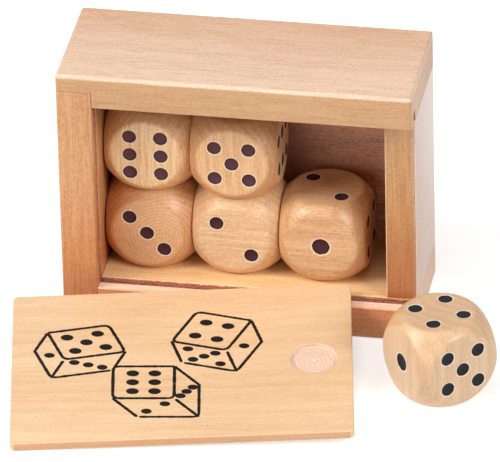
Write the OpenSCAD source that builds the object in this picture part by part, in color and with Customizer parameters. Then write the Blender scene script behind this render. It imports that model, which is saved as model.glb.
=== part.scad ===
// Wooden dice box, open at the front, with its sliding lid taken out and six rounded dice.
// The box is made to hold three dice by two, so its inside follows from the dice.
// Lengths are in millimetres. The origin is the middle of the box's underside, and the front faces -Y.

/* [Dice] */
// Edge length of a die, across its flats
die_edge = 24.7; // [22:0.1:27]
// Diameter of the ball that every die's corners are turned down to
die_ball = 32.1; // [31:0.1:36]
// Width of a pip at the surface
pip_d = 4.2; // [3:0.1:5]
// Width of the single pip on the one
one_pip_d = 5.3; // [3:0.1:7]
// Depth of a pip
pip_depth = 0.6; // [0.3:0.1:1.2]
// How far the pips of two to five stand from the middle of their face, along each edge
pip_step = 4.85; // [4:0.05:5.5]
// Half the distance between the two lines of three on the six
six_across = 4.4; // [3.5:0.1:5.5]
// Distance from pip to pip along a line of three on the six
six_along = 5.7; // [5.2:0.1:6.2]

/* [Box] */
// Thickness of the top, the bottom and the closed end
wall = 10; // [8:0.1:14]
// Thickness of the low end that the lid slides over
low_wall = 8.7; // [7:0.1:14]
// Room beside the three dice of a row
side_play = 7.2; // [1:0.1:12]
// Room above the two dice of a stack
head_play = 8.6; // [1:0.1:12]
// Room between the dice and the lid's groove
depth_play = 6; // [3:0.1:12]
// Width of the lip in front of the lid's groove
lip = 3.5; // [2.5:0.1:6]
// Depth of the lid's groove in the top and the bottom
groove_depth = 3.4; // [2:0.1:4]
// Depth of the lid's groove in the closed end
end_groove_depth = 5; // [2:0.1:6]
// How far the closed end is let into the top and the bottom
corner_lap = 4.9; // [4.5:0.1:6]
// Thickness of the back panel
back_t = 2.4; // [2:0.1:4]
// How far the back panel is let into the four walls
back_lap = 4; // [3:0.1:4.4]
// Width of the glue line that shows between two boards
seam = 0.12; // [0.05:0.01:0.2]
// Rounding of the box's outer edges
edge_round = 0.9; // [0.5:0.1:2]
// Rounding of the box's upright back edges
back_round = 1.8; // [0.5:0.1:3]
// Slope cut on the sharp inner edges at the mouth
mouth_ease = 0.3; // [0.1:0.1:0.6]

/* [Lid] */
// Thickness of the lid
lid_t = 2.5; // [2:0.1:4]
// Free play of the lid in its groove, across its thickness
lid_play = 0.3; // [0.2:0.1:0.8]
// Free play of the lid in its grooves, across its width and at its inner end
lid_edge_play = 0.4; // [0.2:0.1:1]
// Rounding of the lid's corners
lid_corner = 1.6; // [0.5:0.1:4]
// Diameter of the finger recess
recess_d = 12.8; // [8:0.1:18]
// Depth of the finger recess
recess_depth = 0.8; // [0.4:0.1:1.4]
// Distance of the recess's middle from the lid's outer end
recess_inset = 10.8; // [10:0.1:20]
// Width of the centre mark in the recess
mark_d = 1.6; // [0.8:0.1:2.5]
// Width of the centre mark at its tip
mark_tip_d = 0.3; // [0.1:0.1:0.6]
// Depth of the centre mark in the recess
mark_depth = 0.5; // [0.2:0.1:0.8]

/* [Where the loose pieces lie] */
// Turn of the leaning lid in its own plane, in degrees
lid_turn = 10.2; // [6:0.1:13]
// How far the lid's inner corner reaches over the front edge of the bottom board
lid_over = 6.9; // [5:0.1:7.5]
// Distance of that corner from the low end's outer face
lid_back_from_end = 18.9; // [12:0.1:24]
// Gap under the leaning lid where it rests on the bottom board
lean_gap = 0.1; // [0.05:0.05:0.3]
// Gap between neighbouring dice, and between a die and what it lies on
die_gap = 0.1; // [0.05:0.05:0.3]
// Gap between a die and the back panel
panel_gap = 0.3; // [0.2:0.1:1]
// How far the upper left die stands forward of the panel gap
upper_left_forward = 0.3; // [0:0.1:2.5]
// How far the upper middle die stands forward of the panel gap
upper_middle_forward = 1.8; // [0:0.1:2.5]
// How far the lower left die stands forward of the panel gap
lower_left_forward = 1; // [0:0.1:2.5]
// How far the lower middle die stands forward of the panel gap
lower_middle_forward = 1; // [0:0.1:2.5]
// How far the lower right die stands forward of the panel gap
lower_right_forward = 1.6; // [0:0.1:2.5]
// Distance of the stray die's middle to the right of the box
stray_right = 11; // [8:0.5:40]
// Distance of the stray die's middle in front of the box
stray_front = 22.9; // [20:0.1:60]
// Turn of the stray die, in degrees
stray_turn = -50; // [-90:1:90]

/* [Hidden] */

$fn = 64;
columns = 3;
rows = 2;
half = die_edge / 2;

groove_w = lid_t + lid_play;
inside_l = columns * die_edge + side_play;
inside_h = rows * die_edge + head_play;
box_l = wall + inside_l + low_wall;
box_h = inside_h + 2 * wall;
box_d = lip + groove_w + depth_play + die_edge + back_t;

left = -box_l / 2;
right = box_l / 2;
front = -box_d / 2;
back = box_d / 2;
groove_front = front + lip;
groove_back = groove_front + groove_w;
panel_front = back - back_t;
inside_left = left + wall;
inside_right = right - low_wall;
rebate_z = wall - corner_lap;

lid_l = inside_l + low_wall + end_groove_depth - lid_edge_play;
lid_w = inside_h + 2 * groove_depth - lid_edge_play;
lid_run = lid_l * sin(lid_turn) + lid_w * cos(lid_turn) - lid_over;
lid_lean = asin((wall + lean_gap) / lid_run);

// A cutter runs this far past the face it opens
past = 1;

wood = "burlywood";
pale_wood = "wheat";
die_wood = "tan";

// A rectangle from the origin whose corners are quarter circles
module eased_rectangle(size, r) {
    translate([r, 0]) square([size.x - 2 * r, size.y]);
    translate([0, r]) square([size.x, size.y - 2 * r]);
    for (x = [r, size.x - r], y = [r, size.y - r]) translate([x, y]) circle(r);
}

// The outside of the glued box after sanding: every board is trimmed to it
module sanded_block() {
    spare = 4 * back_round;
    translate([left, front, 0]) intersection() {
        linear_extrude(box_h) intersection() {
            eased_rectangle([box_l, box_d + spare], edge_round);
            translate([0, -spare]) eased_rectangle([box_l, box_d + spare], back_round);
        }
        translate([0, box_d, 0]) rotate([90, 0, 0])
            linear_extrude(box_d) eased_rectangle([box_l, box_h], edge_round);
        rotate([90, 0, 90]) linear_extrude(box_l) eased_rectangle([box_d, box_h], edge_round);
    }
}

// Section of the bottom board from front to back, with the lid's groove behind its lip
module long_board_section() {
    groove_floor = wall - groove_depth;
    e = mouth_ease;
    polygon([
        [front, 0], [back, 0], [back, wall], [groove_back + e, wall], [groove_back, wall - e],
        [groove_back, groove_floor], [groove_front, groove_floor], [groove_front, wall - e],
        [groove_front - e, wall], [front + e, wall], [front, wall - e]
    ]);
}

// The bottom board. The top board is the same one turned over
module long_board() {
    intersection() {
        sanded_block();
        difference() {
            translate([left, 0, 0]) rotate([90, 0, 90]) linear_extrude(box_l) long_board_section();
            // Rebate for the closed end
            translate([left - past, front - past, rebate_z])
                cube([wall + seam + past, box_d + 2 * past, corner_lap + past]);
            // Rebate for the back panel, which reaches on over the foot of the low end
            translate([inside_left, panel_front - seam, wall - back_lap])
                cube([inside_l + back_lap, back_t + seam + past, back_lap + past]);
        }
    }
}

// An end board from its front face to the back of the box, between z and as far below the box's top
module end_board(x, thickness, y, z) {
    translate([x, y, z + seam]) cube([thickness, back - y, box_h - 2 * (z + seam)]);
}

// The slot that lets the back panel into an end board, from x towards +X
module panel_slot(x) {
    translate([x, panel_front - seam, wall - back_lap])
        cube([back_lap, back_t + seam + past, inside_h + 2 * back_lap]);
}

module top_board() {
    color(wood) translate([0, 0, box_h]) mirror([0, 0, 1]) long_board();
}

module bottom_board() {
    color(wood) long_board();
}

// The closed end is let into the long boards and carries the groove that takes the lid's inner end
module closed_end_board() {
    color(wood) intersection() {
        sanded_block();
        difference() {
            end_board(left, wall, front, rebate_z);
            translate([inside_left - end_groove_depth, groove_front, 0])
                cube([end_groove_depth + past, groove_w, box_h]);
            panel_slot(inside_left - back_lap);
        }
    }
}

// The low end stands between the long boards, behind the groove, so that the lid slides out over it
module low_end_board() {
    color(wood) intersection() {
        sanded_block();
        difference() {
            end_board(inside_right, low_wall, groove_back, wall);
            panel_slot(inside_right);
        }
    }
}

module back_panel() {
    edge = back_lap - seam;
    color(pale_wood) translate([inside_left - edge, panel_front, wall - edge])
        cube([inside_l + 2 * edge, back_t, inside_h + 2 * edge]);
}

// The lid lying flat, with its far right corner at the origin
module lid_board() {
    difference() {
        translate([-lid_l, -lid_w, 0]) linear_extrude(lid_t) eased_rectangle([lid_l, lid_w], lid_corner);
        translate([-recess_inset, -lid_w / 2, lid_t - recess_depth]) {
            cylinder(h = recess_depth + past, d = recess_d);
            translate([0, 0, -mark_depth]) cylinder(h = mark_depth, d1 = mark_tip_d, d2 = mark_d);
        }
    }
}

// The lid leans on the front edge of the bottom board, and one corner touches the table
module sliding_lid() {
    color(pale_wood) translate([right - lid_back_from_end, front, wall + lean_gap])
        rotate([lid_lean, 0, 0]) translate([0, lid_over, 0]) rotate([0, 0, lid_turn]) lid_board();
}

// A pip is the hollow that a ball leaves in the face above it
module pip(d) {
    ball = (d * d / 4 + pip_depth * pip_depth) / (2 * pip_depth);
    translate([0, 0, half - pip_depth + ball]) sphere(ball);
}

// Pips at a list of places on the face that looks along +Z
module pips(places, d = pip_d) {
    for (p = places) translate([p.x, p.y, 0]) pip(d);
}

middle = [[0, 0]];
rising = [[-pip_step, -pip_step], [pip_step, pip_step]];
falling = [[-pip_step, pip_step], [pip_step, -pip_step]];
three_by_two = [for (x = [-six_across, six_across], y = [-six_along, 0, six_along]) [x, y]];

// One faces the front, two the top, three the left: opposite faces add up to seven
module die() {
    color(die_wood) difference() {
        intersection() {
            cube(die_edge, center = true);
            sphere(d = die_ball);
        }
        rotate([90, 0, 0]) pips(middle, one_pip_d);
        pips(falling);
        rotate([90, 0, -90]) pips(concat(falling, middle));
        rotate([90, 0, 90]) pips(concat(rising, falling));
        rotate([180, 0, 0]) pips(concat(rising, falling, middle));
        rotate([-90, 0, 0]) pips(three_by_two);
    }
}

// A die in the box, by its column from the left, its row from the bottom and its stand forward
module boxed_die(column, row, forward, facing) {
    pitch = die_edge + die_gap;
    translate([
        inside_left + die_gap + half + column * pitch,
        panel_front - panel_gap - half - forward,
        wall + die_gap + half + row * pitch
    ]) rotate(facing) die();
}

// Turns that bring a number to the front
six_front = [0, 0, 180];
five_front = [0, -90, -90];
three_front = [0, 0, 90];
two_front = [90, 0, 0];
one_front = [0, 0, 0];
four_up = [0, -90, 0];

module upper_left_die() {
    boxed_die(0, 1, upper_left_forward, six_front);
}

module upper_middle_die() {
    boxed_die(1, 1, upper_middle_forward, five_front);
}

module lower_left_die() {
    boxed_die(0, 0, lower_left_forward, three_front);
}

module lower_middle_die() {
    boxed_die(1, 0, lower_middle_forward, two_front);
}

module lower_right_die() {
    boxed_die(2, 0, lower_right_forward, one_front);
}

module stray_die() {
    translate([right + stray_right, front - stray_front, half])
        rotate([0, 0, stray_turn]) rotate(four_up) die();
}

top_board();
bottom_board();
closed_end_board();
low_end_board();
back_panel();
sliding_lid();
upper_left_die();
upper_middle_die();
lower_left_die();
lower_middle_die();
lower_right_die();
stray_die();
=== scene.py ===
"""Dresses the dice box: sanded beech boards, a printed lid that leans on them, and six polished dice.

Lengths in the classes are in millimetres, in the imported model's own frame: the origin is the middle of
the box's underside, the open front faces -Y and +Z is up. Each mesh turns to metres once, at its end.
"""

import logging
import math
from collections.abc import Mapping, Sequence
from dataclasses import dataclass, field
from enum import Enum

import bmesh
import bpy
from mathutils import Matrix, Vector


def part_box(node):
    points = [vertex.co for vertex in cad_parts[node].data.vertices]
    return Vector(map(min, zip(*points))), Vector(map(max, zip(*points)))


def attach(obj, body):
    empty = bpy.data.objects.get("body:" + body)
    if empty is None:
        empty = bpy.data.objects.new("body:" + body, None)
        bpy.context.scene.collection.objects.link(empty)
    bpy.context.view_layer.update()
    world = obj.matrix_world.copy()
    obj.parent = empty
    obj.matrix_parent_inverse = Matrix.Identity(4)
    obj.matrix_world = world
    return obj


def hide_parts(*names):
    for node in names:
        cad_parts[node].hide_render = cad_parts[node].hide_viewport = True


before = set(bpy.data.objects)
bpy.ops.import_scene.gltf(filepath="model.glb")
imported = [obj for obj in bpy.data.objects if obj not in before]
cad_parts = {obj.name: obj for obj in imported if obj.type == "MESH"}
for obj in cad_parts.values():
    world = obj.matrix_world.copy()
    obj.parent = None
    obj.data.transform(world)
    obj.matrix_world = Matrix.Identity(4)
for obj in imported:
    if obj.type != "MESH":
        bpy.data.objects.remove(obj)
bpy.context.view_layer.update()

LOG = logging.getLogger("dice_box")
MM = 0.001

Triple = tuple[float, float, float]
Pair = tuple[float, float]

ALONG_X, ALONG_Y, ALONG_Z = (1.0, 0.0, 0.0), (0.0, 1.0, 0.0), (0.0, 0.0, 1.0)
TO_LEFT, TO_FRONT, DOWN = (-1.0, 0.0, 0.0), (0.0, -1.0, 0.0), (0.0, 0.0, -1.0)
NOWHERE = (0.0, 0.0, 0.0)
BLACK, WHITE = (0.0, 0.0, 0.0, 1.0), (1.0, 1.0, 1.0, 1.0)

# Wood, wax and dried paint all bend light about as much
IOR = 1.5
# Edges that turn by more than this stay crisp under smooth shading
CRISP = math.radians(35)
# Points closer than this, in millimetres, are one
SAME = 1e-4


def add(
    tree: bpy.types.NodeTree, kind: str, inputs: Sequence | Mapping = (), **settings: object
) -> bpy.types.Node:
    """Adds one node with its settings and its links.

    Args:
        tree: Node tree that gets the node.
        kind: Blender's name of the node type.
        inputs: Values or sockets, in order or by socket name. A node stands for its first output, a
            list links each of its members, and None leaves a socket as it is.
        **settings: Properties of the node, such as its operation.

    Returns:
        The new node.
    """
    node = tree.nodes.new(kind)
    for name, value in settings.items():
        setattr(node, name, value)
    for key, value in inputs.items() if isinstance(inputs, Mapping) else enumerate(inputs):
        for source in value if isinstance(value, list) else [value]:
            if isinstance(source, bpy.types.Node):
                source = source.outputs[0]
            if isinstance(source, bpy.types.NodeSocket):
                tree.links.new(source, node.inputs[key])
            elif source is not None:
                node.inputs[key].default_value = source
    return node


def linear(colour: str) -> tuple[float, float, float, float]:
    """Turns an sRGB hex colour to Blender's linear one.

    Args:
        colour: Colour such as "#E8C7AD".

    Returns:
        Red, green, blue and an alpha of 1.
    """
    parts = [int(colour[i : i + 2], 16) / 255 for i in (1, 3, 5)]
    return (*(c / 12.92 if c <= 0.04045 else ((c + 0.055) / 1.055) ** 2.4 for c in parts), 1.0)


def shape_tree(name: str, inputs: Mapping[str, object]) -> tuple[bpy.types.NodeTree, bpy.types.Node]:
    """Starts a Geometry Nodes tree with named inputs.

    Args:
        name: Name of the tree.
        inputs: Default value of each input. A tuple makes a vector, a whole number an integer, a
            string a material, and anything else a number.

    Returns:
        The tree and its input node, whose first output is the geometry that comes in.
    """
    kinds = {tuple: "NodeSocketVector", int: "NodeSocketInt", str: "NodeSocketMaterial"}
    tree = bpy.data.node_groups.new(name, "GeometryNodeTree")
    tree.interface.new_socket("Geometry", in_out="INPUT", socket_type="NodeSocketGeometry")
    for label, value in inputs.items():
        kind = kinds.get(type(value), "NodeSocketFloat")
        socket = tree.interface.new_socket(label, in_out="INPUT", socket_type=kind)
        if kind != "NodeSocketMaterial":
            socket.default_value = value
    tree.interface.new_socket("Geometry", in_out="OUTPUT", socket_type="NodeSocketGeometry")
    return tree, add(tree, "NodeGroupInput")


def laid(
    tree: bpy.types.NodeTree, shape: bpy.types.Node, turn: bpy.types.NodeSocket, place: bpy.types.NodeSocket,
    finish: bpy.types.NodeSocket,
) -> bpy.types.Node:
    """Turns a shape, moves it to its place, makes it metres and gives it its finish.

    Args:
        tree: Tree that the shape is built in.
        shape: The shape, in millimetres.
        turn: Its turn.
        place: Its place, in millimetres.
        finish: Its material.

    Returns:
        The shape's last node.
    """
    moved = add(tree, "GeometryNodeTransform", {"Geometry": shape, "Translation": place, "Rotation": turn})
    metres = add(tree, "GeometryNodeTransform", {"Geometry": moved, "Scale": (MM, MM, MM)})
    real = add(tree, "GeometryNodeRealizeInstances", (metres,))
    return add(tree, "GeometryNodeSetMaterial", {"Geometry": real, "Material": finish})


def emptied(owner: bpy.types.Material | bpy.types.World) -> bpy.types.NodeTree:
    """Gives a material or a world a node tree with nothing in it.

    Args:
        owner: The material or the world.

    Returns:
        Its tree.
    """
    owner.use_nodes = True
    owner.node_tree.nodes.clear()
    return owner.node_tree


def shaded(tree: bpy.types.NodeTree, bump: Mapping[str, object], finish: Mapping[str, object]) -> None:
    """Ends a material's tree with its bump and its shader.

    Args:
        tree: The material's tree.
        bump: Inputs of the bump.
        finish: Inputs of the shader.
    """
    normal = add(tree, "ShaderNodeBump", bump)
    shader = add(tree, "ShaderNodeBsdfPrincipled", {"IOR": IOR, "Normal": normal, **finish})
    add(tree, "ShaderNodeOutputMaterial", (shader,))


def link_object(name: str, data: bpy.types.ID) -> bpy.types.Object:
    """Puts a mesh, a lamp or a camera in the scene as an object at the origin.

    Args:
        name: Name of the object.
        data: What it shows.

    Returns:
        The object.
    """
    thing = bpy.data.objects.new(name, data)
    bpy.context.scene.collection.objects.link(thing)
    return thing


def mesh_object(name: str, shape: bmesh.types.BMesh) -> bpy.types.Object:
    """Makes an object of a shape that is built by hand, and frees the shape.

    Args:
        name: Name of the object.
        shape: The shape.

    Returns:
        The object.
    """
    mesh = bpy.data.meshes.new(name)
    shape.to_mesh(mesh)
    shape.free()
    return link_object(name, mesh)


def ease(shape: bmesh.types.BMesh, edges: list[bmesh.types.BMEdge], width: float, slot: int = -1) -> None:
    """Rounds edges as sandpaper does.

    Args:
        shape: Shape that the edges belong to.
        edges: The edges.
        width: How far the rounding reaches on each side.
        slot: Material slot of the rounding, or -1 for that of the faces beside it.
    """
    bmesh.ops.bevel(
        shape, geom=edges, offset=width, offset_type="OFFSET", segments=3, profile=0.5, affect="EDGES",
        material=slot,
    )


def dress(piece: bpy.types.Object, *finishes: bpy.types.Material) -> None:
    """Gives a piece its materials, and smooth shading between its crisp edges.

    Args:
        piece: The piece.
        *finishes: Its materials, one for each slot.
    """
    for finish in finishes:
        piece.data.materials.append(finish)
    piece.data.shade_smooth()
    piece.data.set_sharp_from_angle(angle=CRISP)


def baked(start: bpy.types.Object) -> bpy.types.Object:
    """Replaces an object by a plain mesh of what its modifiers make.

    Args:
        start: Object with live modifiers, which is taken out of the scene.

    Returns:
        A new object of the same name, without modifiers.
    """
    name = start.name
    graph = bpy.context.evaluated_depsgraph_get()
    mesh = bpy.data.meshes.new_from_object(
        start.evaluated_get(graph), preserve_all_data_layers=True, depsgraph=graph
    )
    start.modifiers.clear()
    bpy.data.objects.remove(start)
    mesh.name = name
    return link_object(name, mesh)


def grow(
    name: str, tree: bpy.types.NodeTree, values: Mapping[str, object], source: bpy.types.Mesh | None = None
) -> bpy.types.Object:
    """Runs a Geometry Nodes tree and keeps the result as a plain mesh.

    Args:
        name: Name of the piece.
        tree: The tree to run.
        values: Input values, by the inputs' names.
        source: Mesh that goes in, where the tree uses one.

    Returns:
        The finished piece, at the origin.
    """
    start = link_object(name, source or bpy.data.meshes.new(name))
    modifier = start.modifiers.new(tree.name, "NODES")
    modifier.node_group = tree
    identifiers = {item.name: item.identifier for item in tree.interface.items_tree if item.in_out == "INPUT"}
    for label, value in values.items():
        modifier[identifiers[label]] = value
    return baked(start)


@dataclass(frozen=True)
class PaintedLight:
    """Painted light and shade: a tone that comes in along one direction of a piece and darkens the wood, so
    that the part it leaves out stands paler.

    Attributes:
        colour: Colour that the wood is multiplied by where the tone is full.
        along: Direction in which it grows.
        start: Where it starts along that direction.
        end: Where it is full.
        noise: How far the border wanders.
        within: Lowest and highest corner of the space it is kept to, if any.
    """

    colour: str
    along: Triple
    start: float
    end: float
    noise: float = 6.0
    within: tuple[Triple, Triple] | None = None


@dataclass(frozen=True)
class Wood:
    """Solid wood with growth rings round the log's middle, long fibres and short dark pores.

    Attributes:
        name: Name of the material.
        pale: Colour of the early wood.
        dark: Colour of the late wood, the pores and the end grain.
        grain: Direction that the fibres run.
        heart: A point on the log's middle line.
        ring: Width of a growth ring.
        band: How strongly the rings show.
        mottle: How strongly broad patches show.
        fibre: How strongly the fibres show.
        pore: How strongly the pores show.
        end: How much darker end grain is.
        roughness: Roughness of the sanded surface.
        painted_light: Painted light and shade, as tones that darken parts of the piece, in the order in which
            they are laid on.
        sawn: Lowest and highest corner of each space whose surfaces are raw from the saw.
        relief: Height of the open grain.
        sheen: How strongly the smoothed fibres shine, most of all at a low angle.
    """

    name: str
    pale: str
    dark: str
    grain: Triple
    heart: Triple
    ring: float = 3.4
    band: float = 0.15
    mottle: float = 0.5
    fibre: float = 1.5
    pore: float = 0.4
    end: float = 0.25
    roughness: float = 0.5
    painted_light: tuple[PaintedLight, ...] = ()
    sawn: tuple[tuple[Triple, Triple], ...] = ()
    relief: float = 0.03
    sheen: float = 0.5

    SAWN_COLOUR = "#AC6450"
    SAWN_PALE = "#E4A488"
    SHEEN_ROUGHNESS = 0.3

    # Sizes of the pattern, in waves to the millimetre across the fibres, both ways, and along them.
    # Growth rings waver over some centimetres, and broad patches are about one wide and several long
    WAVER = (0.05, 0.05, 0.006)
    PATCHES = (0.075, 0.075, 0.018)
    # Bundles of fibres are a quarter of a millimetre wide and a centimetre long. Single fibres are ten times
    # finer than the picture can show
    FIBRES = (2.6, 2.6, 0.1)
    # The sanded surface is speckled at the size of its pores, half a millimetre
    GRIT = (2.0, 2.0, 1.3)
    # Pores are dashes a fifth of a millimetre wide and two or three long, about twice as coarse as real
    # ones, so that they show
    PORES = (1.5, 1.5, 0.28)
    # A blunt saw tears the fibres to tufts about a millimetre wide and two long
    TUFTS = (1.1, 1.1, 0.5)

    # The late wood darkens over most of a year and ends sharply, at this share of it
    LATE = 0.8
    # How dark the plain wood stands between pale and dark
    GROUND = 0.22
    # How far a fibre has to point at the surface for end grain to start and to be full
    END_FROM, END_FULL = 0.75, 0.97

    def coordinates(self, tree: bpy.types.NodeTree) -> tuple[bpy.types.Node, bpy.types.Node]:
        """Places the pattern in the piece.

        Args:
            tree: The material's tree.

        Returns:
            The texture coordinate node, and the place in millimetres with the fibres along Z.
        """
        given = add(tree, "ShaderNodeTexCoord")
        turn = Vector(self.grain).to_track_quat("Z", "Y").to_euler()
        heart = tuple(c * MM for c in self.heart)
        mapping = (given.outputs["Object"], heart, turn, (MM, MM, MM))
        return given, add(tree, "ShaderNodeMapping", mapping, vector_type="TEXTURE")

    def figure(self, tree: bpy.types.NodeTree) -> dict[str, bpy.types.NodeSocket]:
        """Builds the wood's pattern.

        Args:
            tree: The material's tree.

        Returns:
            The sockets of the colour, the roughness and the height of the surface, and of the place in
            millimetres with the fibres along Z.
        """
        given, place = self.coordinates(tree)

        def stretched(scale: Triple) -> bpy.types.Node:
            """The place, scaled along each axis."""
            return add(tree, "ShaderNodeVectorMath", (place, scale), operation="MULTIPLY")

        def noise(scale: Triple, detail: float) -> bpy.types.NodeSocket:
            """Makes noise from -1 to 1 in the piece's own wood.

            Args:
                scale: Waves to the millimetre along each axis.
                detail: How often finer noise is added to it.

            Returns:
                The socket of the noise.
            """
            waves = {"Vector": stretched(scale), "Scale": 1.0, "Detail": detail}
            raw = add(tree, "ShaderNodeTexNoise", waves)
            return add(tree, "ShaderNodeMapRange", (raw, 0.25, 0.75, -1.0, 1.0)).outputs[0]

        def total(parts: Sequence[tuple[bpy.types.NodeSocket, float]], start: float) -> bpy.types.NodeSocket:
            """Adds up parts, each times its weight.

            Args:
                parts: Each part and its weight.
                start: What they are added to.

            Returns:
                The socket of the sum.
            """
            last = start
            for part, weight in parts:
                last = add(tree, "ShaderNodeMath", (part, weight, last), operation="MULTIPLY_ADD").outputs[0]
            return last

        # Rings: the distance from the log's middle line, bent by about a ring's width
        radius = add(tree, "ShaderNodeVectorMath", (stretched((1.0, 1.0, 0.0)),), operation="LENGTH")
        bent = total([(noise(self.WAVER, 2.0), 1.1 * self.ring)], radius.outputs["Value"])
        year = add(tree, "ShaderNodeMath", (bent, self.ring), operation="DIVIDE")
        late = add(tree, "ShaderNodeValToRGB", (add(tree, "ShaderNodeMath", (year,), operation="FRACT"),))
        ramp = late.color_ramp
        ramp.interpolation = "EASE"
        ramp.elements[0].color, ramp.elements[1].color = BLACK, BLACK
        ramp.elements.new(self.LATE).color = WHITE

        fibre, mottle, grit = noise(self.FIBRES, 3.0), noise(self.PATCHES, 2.0), noise(self.GRIT, 1.0)
        cells = add(tree, "ShaderNodeTexVoronoi", {"Vector": stretched(self.PORES), "Scale": 1.0})
        pore = add(tree, "ShaderNodeMapRange", (cells.outputs["Distance"], 0.06, 0.22, 1.0, 0.0)).outputs[0]
        pair = (given.outputs["Normal"], self.grain)
        lean = add(tree, "ShaderNodeVectorMath", pair, operation="DOT_PRODUCT").outputs["Value"]
        facing = add(tree, "ShaderNodeMath", (lean,), operation="ABSOLUTE")
        end = add(tree, "ShaderNodeMapRange", (facing, self.END_FROM, self.END_FULL, 0.0, 1.0)).outputs[0]

        tone = total(
            [
                (late.outputs["Color"], self.band), (mottle, 0.3 * self.mottle), (fibre, 0.3 * self.fibre),
                (grit, 0.22 * self.fibre), (pore, self.pore), (end, self.end),
            ],
            self.GROUND,
        )
        share = add(tree, "ShaderNodeMath", (tone, 0.0, 0.0), operation="ADD", use_clamp=True)
        layers = {0: share, 6: linear(self.pale), 7: linear(self.dark)}
        colour = add(tree, "ShaderNodeMix", layers, data_type="RGBA").outputs[2]
        height = total([(fibre, 0.5), (grit, 0.35), (pore, -0.8)], 0.5)
        rough = total([(fibre, 0.05), (grit, 0.05), (end, 0.1)], self.roughness)

        metres = {0: given.outputs["Object"], "Scale": 1 / MM}
        spot = add(tree, "ShaderNodeVectorMath", metres, operation="SCALE")
        # Painted light and shade: each tone darkens the colour where it comes in
        for painted_light in self.painted_light:
            run = add(tree, "ShaderNodeVectorMath", (spot, painted_light.along), operation="DOT_PRODUCT")
            edge = total([(mottle, painted_light.noise)], run.outputs["Value"])
            limits = (edge, painted_light.start, painted_light.end, 0.0, 1.0)
            part = add(tree, "ShaderNodeMapRange", limits, interpolation_type="SMOOTHSTEP")
            if painted_light.within:
                kept = self.inside(tree, spot, *painted_light.within)
                part = add(tree, "ShaderNodeMath", (part, kept), operation="MULTIPLY")
            layers = {0: part, 6: colour, 7: linear(painted_light.colour)}
            colour = add(tree, "ShaderNodeMix", layers, data_type="RGBA", blend_type="MULTIPLY").outputs[2]
        for low, high in self.sawn:
            inside = self.inside(tree, spot, low, high)
            tufts = noise(self.TUFTS, 4.0)
            flecks = add(tree, "ShaderNodeMapRange", (tufts, -0.5, 0.9, 0.0, 1.0))
            layers = {0: flecks, 6: linear(self.SAWN_COLOUR), 7: linear(self.SAWN_PALE)}
            raw = add(tree, "ShaderNodeMix", layers, data_type="RGBA").outputs[2]
            colour = add(tree, "ShaderNodeMix", {0: inside, 6: colour, 7: raw}, data_type="RGBA").outputs[2]
            coarse = add(tree, "ShaderNodeMath", (tufts, inside), operation="MULTIPLY")
            height = total([(coarse.outputs[0], 3.0)], height)
            rough = total([(inside, 0.35)], rough)
        return {"colour": colour, "roughness": rough, "height": height, "place": place.outputs[0]}

    @staticmethod
    def inside(
        tree: bpy.types.NodeTree, place: bpy.types.Node, low: Triple, high: Triple
    ) -> bpy.types.NodeSocket:
        """Masks the surfaces inside an upright box.

        Args:
            tree: The material's tree.
            place: Node that gives the place in millimetres.
            low: Lowest corner of the box.
            high: Highest corner of the box.

        Returns:
            1 inside the box and 0 outside.
        """
        axes = add(tree, "ShaderNodeSeparateXYZ", (place,))
        mask = None
        for axis in range(3):
            middle, reach = (low[axis] + high[axis]) / 2, (high[axis] - low[axis]) / 2
            near = add(tree, "ShaderNodeMath", (axes.outputs[axis], middle, reach), operation="COMPARE")
            mask = near if mask is None else add(tree, "ShaderNodeMath", (mask, near), operation="MULTIPLY")
        return mask.outputs[0]

    def material(self) -> bpy.types.Material:
        """Makes the wood as a Blender material.

        Returns:
            The material, with its shader and bump.
        """
        material = bpy.data.materials.new(self.name)
        tree = emptied(material)
        self.surface(tree, self.figure(tree))
        return material

    def surface(self, tree: bpy.types.NodeTree, parts: Mapping[str, bpy.types.NodeSocket]) -> None:
        """Ends the tree with the shader of bare sanded wood.

        Args:
            tree: The material's tree.
            parts: The sockets of the wood's figure.
        """
        shaded(
            tree,
            {"Strength": 0.6, "Distance": self.relief * MM, "Height": parts["height"]},
            {
                "Base Color": parts["colour"], "Roughness": parts["roughness"], "Coat Weight": self.sheen,
                "Coat Roughness": self.SHEEN_ROUGHNESS,
            },
        )


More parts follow.
